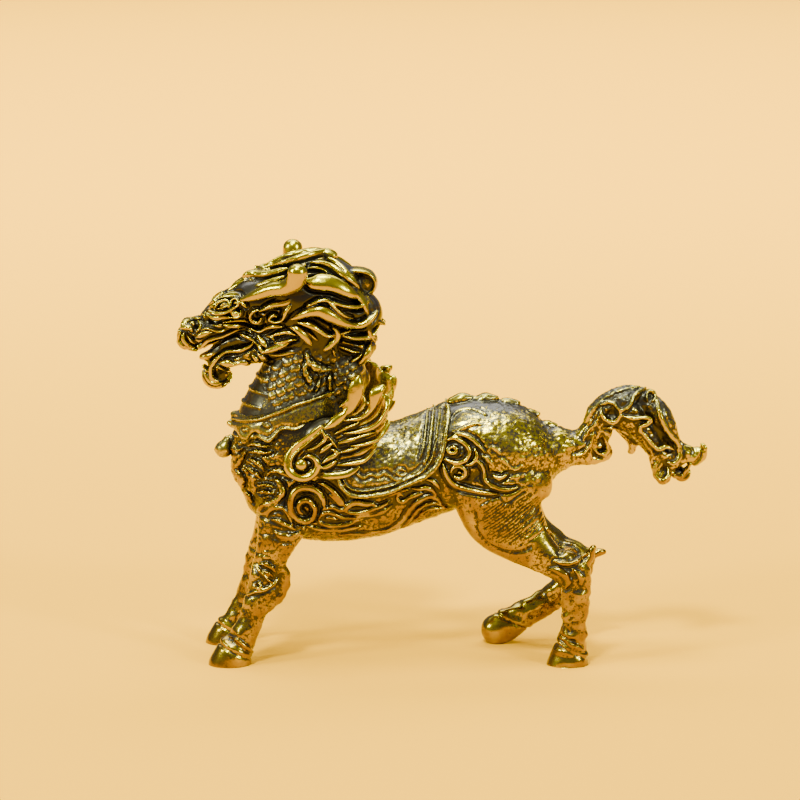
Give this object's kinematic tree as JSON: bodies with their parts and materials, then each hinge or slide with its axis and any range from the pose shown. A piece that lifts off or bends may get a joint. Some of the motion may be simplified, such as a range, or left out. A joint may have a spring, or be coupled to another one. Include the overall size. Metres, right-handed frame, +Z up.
{
  "type": "dragon horse figurine",
  "caption": "Small cast brass figurine of a winged, dragon-headed horse with flowing mane, saddle cloth, scrolls and a curled tail, stepping forward on its hooves.",
  "frame": {"origin": "centre of the bounding box at the level of the soles", "axes": "+Z up; the head looks along -X and the tail trails along +X; the animal's left side faces -Y"},
  "size_m": [0.0664, 0.0154, 0.052],
  "materials": {
    "brass": "polished ridges with a dark antique patina in the hollows"
  },
  "bodies": {
    "root": {"dragon_horse": "brass"}
  },
  "joints": []
}
